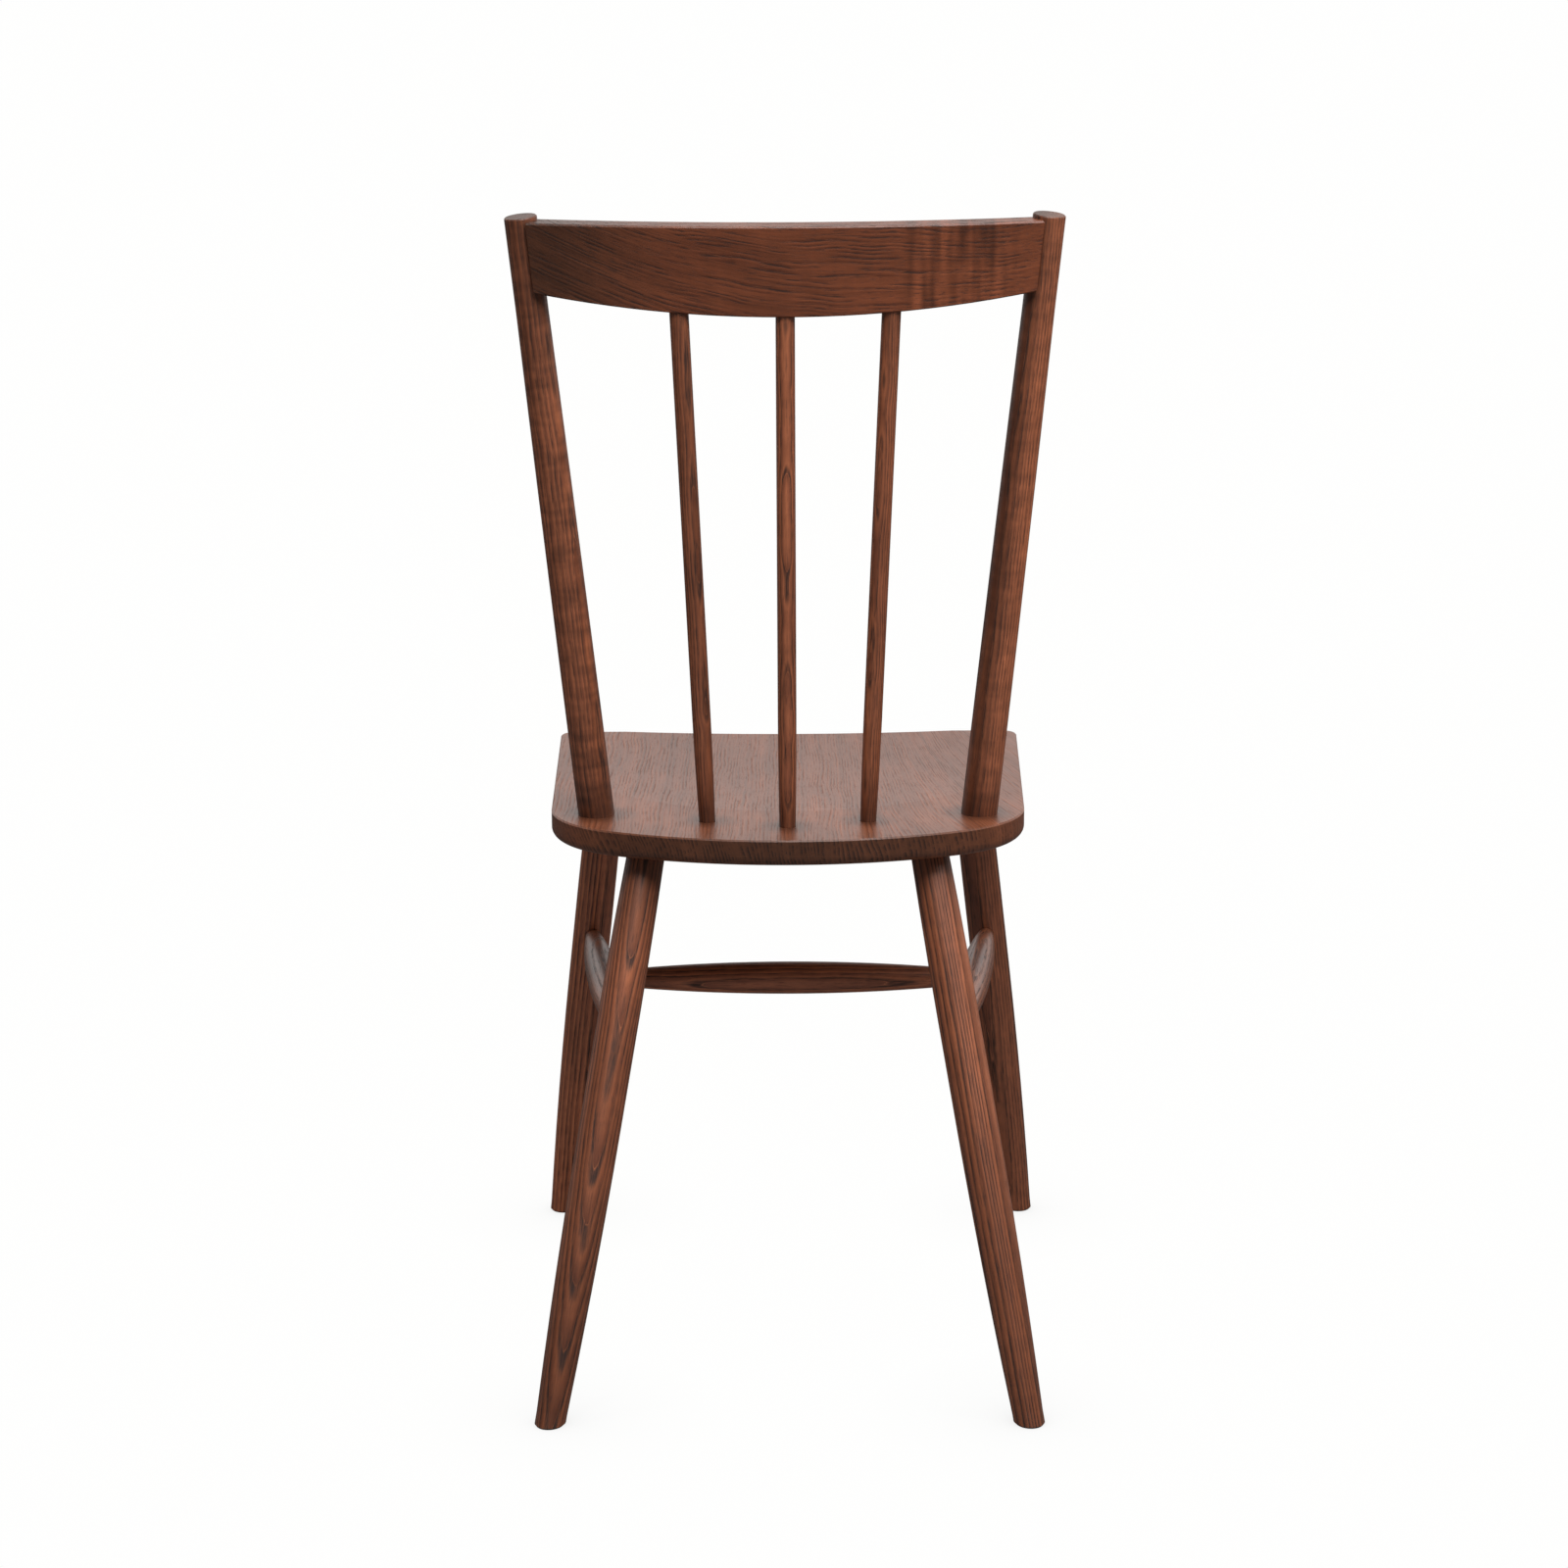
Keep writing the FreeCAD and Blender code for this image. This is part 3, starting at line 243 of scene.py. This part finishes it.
def facing(g, direction):
    """How squarely a surface faces a direction or its opposite, from 0 to 1."""
    normal = g.node("ShaderNodeNewGeometry").outputs["Normal"]
    return g.math("ABSOLUTE", g.vector("DOT_PRODUCT", normal, direction))


def wood(name, grain, seed, bend=None, shade=None, lines=None, bump_strength=0.35, **numbers):
    """Stained ash for one member, its grain frame given as a matrix in metres."""
    material = bpy.data.materials.new(name)
    material.use_nodes = True
    g = Graph(material.node_tree)
    shader = material.node_tree.nodes["Principled BSDF"]
    place = g.node("ShaderNodeMapping", vector_type="TEXTURE")
    g.feed(place.inputs["Vector"], g.node("ShaderNodeTexCoord").outputs["Object"])
    place.inputs["Location"].default_value = grain.to_translation()
    place.inputs["Rotation"].default_value = grain.to_euler("XYZ")
    vector = g.vector("SCALE", place.outputs[0], scale=MM)
    ash = g.node("ShaderNodeGroup", node_tree=ASH)
    g.feed(ash.inputs["Vector"], bend(g, vector) if bend else vector)
    ash.inputs["Seed"].default_value = seed
    for key, value in numbers.items():
        ash.inputs[key.replace("_", " ").title()].default_value = value
    if lines:
        g.feed(ash.inputs["Line"], lines(g))
    # End grain drinks more stain, so the faces across the grain are darker.
    share = g.math("POWER", facing(g, grain.to_3x3().col[2]), 2.0)
    colour = ash.outputs["Color"]
    colour = g.mix(share, colour, g.vector("MULTIPLY", colour, END_GRAIN))
    g.feed(shader.inputs["Base Color"], shade(g, vector, colour) if shade else colour)
    g.feed(shader.inputs["Roughness"], ash.outputs["Roughness"])
    bump = g.node("ShaderNodeBump")
    bump.inputs["Strength"].default_value = bump_strength
    bump.inputs["Distance"].default_value = BUMP_DEPTH
    g.feed(bump.inputs["Height"], ash.outputs["Height"])
    g.feed(shader.inputs["Normal"], bump.outputs[0])
    shader.inputs["Specular IOR Level"].default_value = 0.5
    return material


def dress(node, material):
    nodes[node].material_slots[0].material = material


def middle_of(node):
    low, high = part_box(node)
    return (low + high) / 2


END_REACH = 0.02


def axis_of(node, along):
    """Ends of a turned piece's axis, from the middles of its first and last parts."""
    ends = []
    for level in (corner[along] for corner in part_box(node)):
        near = [v.co for v in nodes[node].data.vertices if abs(v.co[along] - level) < END_REACH]
        corners = [[pick(p[i] for p in near) for i in range(3)] for pick in (min, max)]
        ends.append((Vector(corners[0]) + Vector(corners[1])) / 2)
    return ends


ACROSS = (1, 0, 0)
AHEAD = (0, 1, 0)
REAR = (0, -1, 0)
UP = (0, 0, 1)
ALONG_Y, ALONG_Z = 1, 2


# Seat: grain from front to back. In its grain frame X runs to the left, Y up and Z ahead.
SEAT_TOP = (0, 0, 0.46)
SEAT_SLANT = 0.28
# Where a post and two spindles stand on it: across, ahead, radius.
STANDS = ((157.8, -63.5, 14.0), (65.8, -88.4, 6.0), (0.0, -106.9, 6.0))
# Reach of the painted shade round each foot, in millimetres.
PAINTED_SHADE_RIM = 26.0


def seat_bend(g, vector):
    """On the right of the seat the grain slants inwards as it runs ahead."""
    x, y, z = g.split(vector)
    right = g.remap(x, -20.0, -230.0, 0.0, 1.0, smooth=True)
    slant = g.math("MULTIPLY", g.math("MULTIPLY", right, z), SEAT_SLANT)
    return g.join(g.math("SUBTRACT", x, slant), y, z)


def seat_lines(g):
    """Growth rings are faint on the top and bold on the ends of the boards."""
    return g.remap(facing(g, AHEAD), 0.3, 0.9, 0.26, 0.85)


def seat_shade(g, vector, colour):
    """Darker towards the rear edge, and painted shade round the feet of posts and spindles."""
    x, y, z = g.split(vector)
    scale = g.remap(z, -80.0, -140.0, 1.0, 0.80, smooth=True)
    beside = g.math("ABSOLUTE", x)
    # Painted shade round each post and spindle foot.
    for across, ahead, radius in STANDS:
        away = g.join(g.math("SUBTRACT", beside, across), 0.0, g.math("SUBTRACT", z, ahead))
        rim = g.remap(g.vector("LENGTH", away), radius, radius + PAINTED_SHADE_RIM, 0.45, 1.0, smooth=True)
        scale = g.math("MULTIPLY", scale, rim)
    return g.vector("SCALE", colour, scale=scale)


dress("seat", wood("ash_seat", grain_frame(SEAT_TOP, AHEAD, UP), 3.0,
                   seat_bend, seat_shade, seat_lines, bump_strength=0.15,
                   pith_x=-330, pith_y=90, ring=3.0, wander=16, wave=0.006,
                   tone=0.78, pore=0.22, figure=0.03, rough=0.36, gaps=0.8))


# Crest rail: grain along its length. In its grain frame X runs up, Y back and Z across.
CREST_TURN = 30.0
CREST_TINT = (1.0, 0.88, 0.80)
OLIVE_TINT = (0.30, 0.42, 0.50)


def crest_bend(g, vector):
    """Grain lines fall from the left end to the middle and rise a little to the right."""
    x, y, z = g.split(vector)
    aside = g.math("SUBTRACT", z, CREST_TURN)
    left = g.math("DIVIDE", g.math("MINIMUM", aside, 0.0), 230.0)
    right = g.math("DIVIDE", g.math("MAXIMUM", aside, 0.0), 180.0)
    fall = g.math("MULTIPLY", g.math("MULTIPLY", left, left), 62.0)
    lift = g.math("MULTIPLY", g.math("MULTIPLY", right, right), 9.0)
    return g.join(g.math("SUBTRACT", x, g.math("ADD", fall, lift)), y, z)


def crest_shade(g, vector, colour):
    """Dark olive left end, redder middle and a few cross bands of figure near the right end."""
    x, y, z = g.split(vector)
    colour = g.vector("MULTIPLY", colour, CREST_TINT)
    olive = g.vector("MULTIPLY", colour, OLIVE_TINT)
    end = g.remap(z, -60.0, -190.0, smooth=True)
    colour = g.mix(g.math("MULTIPLY", end, 0.8), colour, olive)
    inside = g.math("MULTIPLY", g.remap(z, 84.0, 104.0, smooth=True),
                    g.remap(z, 184.0, 160.0, smooth=True))
    stretched = g.join(g.math("DIVIDE", x, 90.0), 0.0, g.math("DIVIDE", z, 9.0))
    band = g.remap(g.noise(stretched, 4.0, 1.0), 0.32, 0.68, -0.46, 0.42)
    swing = g.math("ADD", g.math("MULTIPLY", band, inside), 1.0)
    return g.vector("SCALE", colour, scale=swing)


dress("crest_rail", wood("ash_crest", grain_frame(middle_of("crest_rail"), ACROSS, REAR), 7.0,
                         crest_bend, crest_shade,
                         pith_x=-95, pith_y=20, ring=3.3, wander=18, wave=0.01,
                         tone=0.59, line=0.42, pore=0.8, rough=0.36, gaps=1.0))


# Legs, posts and spindles.
def darken_ends(foot, head):
    """Darkens a turned piece near its lower and upper end; where the piece meets the seat this is
    painted shade.

    Each end is given as two heights above the floor in metres and the scale at each.
    """
    def shade(g, vector, colour):
        height = g.split(g.node("ShaderNodeTexCoord").outputs["Object"])[2]
        scale = g.math("MULTIPLY", g.remap(height, *foot, smooth=True),
                       g.remap(height, *head, smooth=True))
        return g.vector("SCALE", colour, scale=scale)
    return shade


# Legs: darker towards the floor, and painted shadow under the seat at their tops.
leg_shade = darken_ends((0.05, 0.26, 0.68, 1.0), (0.36, 0.43, 1.0, 0.70))
# Posts and spindles: painted shade where they stand on the seat, and darker towards their tops.
upper_shade = darken_ends((0.458, 0.51, 0.5, 1.0), (0.82, 0.93, 1.0, 0.74))


def right_post_shade(g, vector, colour):
    """The right-hand post is darker down its left and lighter down its right."""
    x, y, z = g.split(vector)
    colour = upper_shade(g, vector, colour)
    return g.vector("SCALE", colour, scale=g.remap(x, 10.0, -9.0, 0.55, 1.55, smooth=True))


# Node, seed, shade and what its wood is given.
TURNED = (
    ("rear_leg_left", 11.0, leg_shade, dict(
        pith_x=4, pith_y=-34, lean_y=0.05, ring=3.7, wander=7, wave=0.008, line=0.7, tone=1.02)),
    ("rear_leg_right", 12.5, leg_shade, dict(
        pith_x=58, pith_y=-8, ring=4.3, wander=4, line=0.8, tone=1.15)),
    # Its tone is raised to paint light into it, as it lies in the seat's shadow.
    ("front_leg_left", 13.0, None, dict(pith_x=34, pith_y=-30, ring=4.0, line=0.7, tone=1.8)),
    ("front_leg_right", 14.0, None, dict(pith_x=-20, pith_y=-34, ring=3.6, wander=6, wave=0.008)),
    ("back_post_left", 15.0, upper_shade, dict(
        pith_x=30, pith_y=-22, ring=3.4, wander=8, wave=0.008, line=0.40, tone=0.84, figure=0.28)),
    ("back_post_right", 16.0, right_post_shade, dict(
        pith_x=-36, pith_y=-22, ring=3.2, wander=8, wave=0.009, line=0.4, tone=0.92, figure=0.16)),
    ("spindle_left", 17.0, upper_shade, dict(
        pith_x=16, pith_y=-22, ring=2.6, wander=8, wave=0.012, tone=0.85)),
    ("spindle_middle", 18.0, upper_shade, dict(
        pith_x=1, pith_y=-40, ring=2.6, wander=16, wave=0.010, line=0.7)),
    ("spindle_right", 19.0, upper_shade, dict(
        pith_x=-14, pith_y=-22, ring=2.6, wander=8, wave=0.012)),
)

for node, seed, shade, numbers in TURNED:
    low, high = axis_of(node, ALONG_Z)
    grain = grain_frame((low + high) / 2, high - low, REAR)
    dress(node, wood(f"ash_{node}", grain, seed, None, shade, **numbers))


# Stretchers and the hidden beech dowels.
SIDES = (("left", -1), ("right", 1))

for side, sign in SIDES:
    node = f"side_stretcher_{side}"
    low, high = axis_of(node, ALONG_Y)
    grain = grain_frame((low + high) / 2, high - low, (sign, 0, 0))
    dress(node, wood(f"ash_{node}", grain, 20.0 + sign,
                     pith_x=-26, pith_y=-8, ring=3.4, rough=0.34, line=0.35))

dress("cross_stretcher", wood(
    "ash_cross_stretcher", grain_frame(middle_of("cross_stretcher"), ACROSS, REAR), 23.0,
    pith_x=4, pith_y=-26, ring=3.4, wander=12, wave=0.008, tone=1.3, line=0.7))

for level in ("upper", "lower"):
    for side, sign in SIDES:
        node = f"crest_dowel_{level}_{side}"
        dress(node, wood(f"beech_{level}_{side}", grain_frame(middle_of(node), ACROSS, REAR),
                         30.0, tone=3.0, line=0.1, pore=0.2, ring=2.0))


# Floor: white to the camera with a faint shade round the feet, grey to bounced light and
# darker in reflections.
WHITE = (0.995, 0.995, 0.99, 1)
FLOOR_GREY = (0.36, 0.35, 0.34, 1)
FLOOR_REFLECTED = (0.10, 0.10, 0.10, 1)
ROOM = (1.0, 0.99, 0.975, 1)
CONTACT_REACH = 0.12
FLOOR_SIZE = 40


def floor_material():
    material = bpy.data.materials.new("stage_floor")
    material.use_nodes = True
    g = Graph(material.node_tree)
    material.node_tree.nodes.clear()
    pale = g.node("ShaderNodeBsdfDiffuse")
    pale.inputs["Color"].default_value = FLOOR_GREY
    dim = g.node("ShaderNodeBsdfDiffuse")
    dim.inputs["Color"].default_value = FLOOR_REFLECTED
    seen = g.node("ShaderNodeEmission")
    seen.inputs["Color"].default_value = WHITE
    shut = g.node("ShaderNodeAmbientOcclusion", samples=8)
    shut.inputs["Distance"].default_value = CONTACT_REACH
    g.feed(seen.inputs["Strength"], g.remap(shut.outputs["AO"], 0.4, 0.95, 0.86, 1.0))
    path = g.node("ShaderNodeLightPath")
    bounced = g.blend(path.outputs["Is Glossy Ray"], pale.outputs[0], dim.outputs[0])
    surface = g.blend(path.outputs["Is Camera Ray"], bounced, seen.outputs[0])
    g.feed(g.node("ShaderNodeOutputMaterial").inputs["Surface"], surface)
    return material


bpy.ops.mesh.primitive_plane_add(size=FLOOR_SIZE)
floor = bpy.context.object
floor.name = "floor"
floor.data.materials.append(floor_material())

# The room is bright ahead of the chair, dim behind the camera.
world = bpy.data.worlds.new("studio")
scene.world = world
world.use_nodes = True
g = Graph(world.node_tree)
world.node_tree.nodes.clear()
ahead = g.split(g.node("ShaderNodeTexCoord").outputs["Generated"])[1]
room = g.node("ShaderNodeBackground")
room.inputs["Color"].default_value = ROOM
g.feed(room.inputs["Strength"], g.remap(ahead, -0.1, 0.8, 0.10, 1.0, smooth=True))
white = g.node("ShaderNodeBackground")
white.inputs["Color"].default_value = WHITE
path = g.node("ShaderNodeLightPath")
sky = g.blend(path.outputs["Is Camera Ray"], room.outputs[0], white.outputs[0])
g.feed(g.node("ShaderNodeOutputWorld").inputs["Surface"], sky)


def soft_box(name, where, towards, size, power):
    data = bpy.data.lights.new(name, "AREA")
    data.shape = "RECTANGLE"
    data.size, data.size_y = size
    data.energy = power
    lamp = bpy.data.objects.new(name, data)
    scene.collection.objects.link(lamp)
    aim = Vector(towards) - Vector(where)
    lamp.matrix_world = Matrix.Translation(where) @ aim.to_track_quat("-Z", "Y").to_matrix().to_4x4()


soft_box("key", (0.2, -1.9, 2.95), (0, 0, 0.4), (1.2, 1.2), 92)
soft_box("side", (1.25, -0.75, 1.45), (0, -0.1, 0.75), (0.5, 0.7), 7)
soft_box("top", (0.7, -0.5, 3.0), (0, 0, 0.5), (1.3, 1.3), 16)
